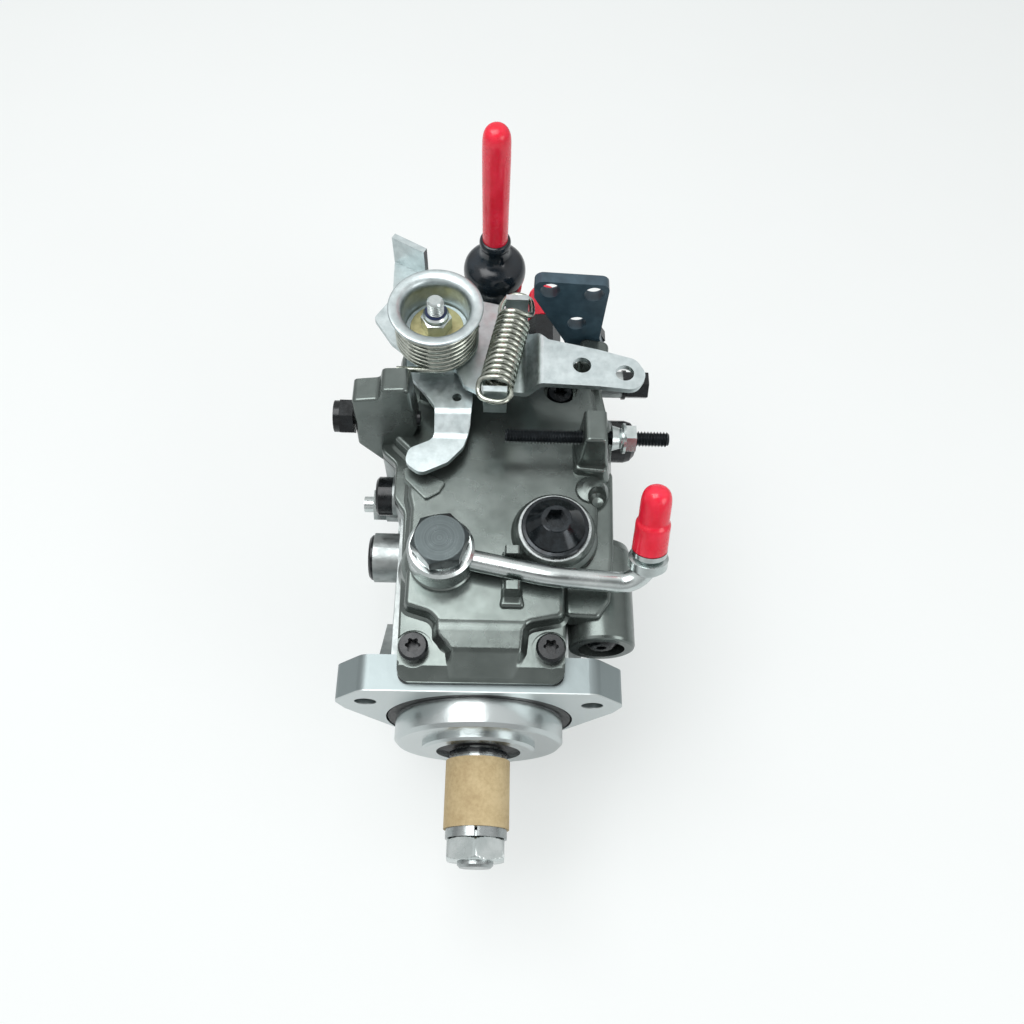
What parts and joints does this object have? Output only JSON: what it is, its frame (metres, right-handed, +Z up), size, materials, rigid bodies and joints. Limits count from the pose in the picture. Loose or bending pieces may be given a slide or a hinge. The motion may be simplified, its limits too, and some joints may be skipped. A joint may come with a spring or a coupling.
{
  "type": "diesel injection pump",
  "caption": "Rotary diesel injection pump with a three-bolt flange, drive shaft, governor cover, throttle lever, stop solenoid and capped fuel outlets.",
  "frame": {"origin": "on the drive axis, in the plane of the mounting flange face", "axes": "-Y out along the drive shaft, +Y to the fuel outlets, +Z up through the governor cover"},
  "size_m": [0.1328, 0.279, 0.2182],
  "materials": {
    "cast_aluminium": "as cast with machined faces",
    "cover_casting": "satin dark bronze-grey coat",
    "zinc_steel": "zinc plated, satin",
    "steel": "ground",
    "black_steel": "black phosphate",
    "black_rubber": "moulded, glossy",
    "red_vinyl": "dipped vinyl",
    "kraft_board": "wound tube",
    "bronze": "sintered"
  },
  "bodies": {
    "housing": {"access_plug": "black_steel", "advance_bolts": "zinc_steel", "advance_housing": "cast_aluminium", "advance_plugs": "zinc_steel", "banjo_bolt": "black_steel", "banjo_washers": "zinc_steel", "bracket_bolt": "black_steel", "cover_gasket": "black_rubber", "cover_screws": "black_steel", "delivery_caps": "red_vinyl", "delivery_valve_holders": "black_steel", "end_plate": "cast_aluminium", "end_plate_screws": "zinc_steel", "front_bush": "bronze", "governor_cover": "cover_casting", "governor_pin": "steel", "head_bolts": "zinc_steel", "hydraulic_head": "steel", "idle_screw": "black_steel", "inlet_cap": "red_vinyl", "inlet_union": "zinc_steel", "pilot_o_ring": "black_rubber", "pump_housing": "cast_aluminium", "rear_bracket": "black_steel", "return_cap": "red_vinyl", "return_pipe": "zinc_steel", "shaft_oil_seal": "black_rubber", "side_fitting": "zinc_steel", "side_plugs": "black_steel", "solenoid_boot": "black_rubber", "solenoid_sleeve": "red_vinyl", "stop_screw": "black_steel", "stop_screw_nut": "zinc_steel", "stop_solenoid": "zinc_steel", "transfer_liner": "steel"},
    "drive_line": {"drive_shaft": "steel", "drive_sleeve": "kraft_board", "thrust_washer": "black_steel", "spring_washer": "zinc_steel", "shaft_nut": "zinc_steel", "weight_carrier": "steel", "governor_weights": "steel", "rotor": "steel", "pumping_elements": "steel", "transfer_rotor": "steel", "transfer_blades": "steel"},
    "governor_sleeve": {"governor_sleeve": "steel"},
    "governor_arm": {"governor_arm": "steel"},
    "metering_valve": {"metering_valve": "steel"},
    "cam_ring": {"cam_ring": "steel", "timing_screw": "steel"},
    "advance_piston": {"advance_piston": "steel"},
    "solenoid_plunger": {"solenoid_plunger": "steel"},
    "throttle": {"throttle_shaft": "zinc_steel", "idle_lever": "zinc_steel", "throttle_lever": "zinc_steel", "lever_spring": "zinc_steel", "throttle_cup": "zinc_steel", "torsion_spring": "zinc_steel", "throttle_nut": "zinc_steel"}
  },
  "joints": [
    {"name": "drive_spin", "type": "hinge", "parent": "housing", "child": "drive_line", "pos_m": [0, 0, 0], "axis": [0, 1, 0], "continuous": true},
    {"name": "governor_slide", "type": "slide", "parent": "housing", "child": "governor_sleeve", "axis": [0, -1, 0], "range_m": [0, 0.006], "stiffness_N_per_m": 300},
    {"name": "governor_arm_pivot", "type": "hinge", "parent": "housing", "child": "governor_arm", "pos_m": [0, 0.0305, 0.0355], "axis": [-1, 0, 0], "range_deg": [0, 9.8]},
    {"name": "metering_turn", "type": "hinge", "parent": "housing", "child": "metering_valve", "pos_m": [0, 0.134, 0.03], "axis": [0, 0, 1], "range_deg": [0, 15.5]},
    {"name": "cam_advance", "type": "hinge", "parent": "housing", "child": "cam_ring", "pos_m": [0, 0.111, 0], "axis": [0, 1, 0], "range_deg": [-4, 4], "stiffness_Nm_per_rad": 2},
    {"name": "advance_slide", "type": "slide", "parent": "housing", "child": "advance_piston", "axis": [1, 0, 0], "range_m": [-0.0038, 0.0038]},
    {"name": "stop_plunger_slide", "type": "slide", "parent": "housing", "child": "solenoid_plunger", "axis": [0, 0, 1], "range_m": [0, 0.002], "stiffness_N_per_m": 600},
    {"name": "throttle_turn", "type": "hinge", "parent": "housing", "child": "throttle", "pos_m": [-0.0202, 0.1353, 0.06], "axis": [0, 0, 1], "range_deg": [0, 17], "stiffness_Nm_per_rad": 0.5, "springref_deg": -34.38}
  ],
  "couplings": [
    {"joint": "governor_arm_pivot", "follows": "governor_slide", "rad_per_m": 28.169},
    {"joint": "metering_turn", "follows": "governor_slide", "rad_per_m": 44},
    {"joint": "advance_slide", "follows": "cam_advance", "m_per_rad": -0.053}
  ]
}
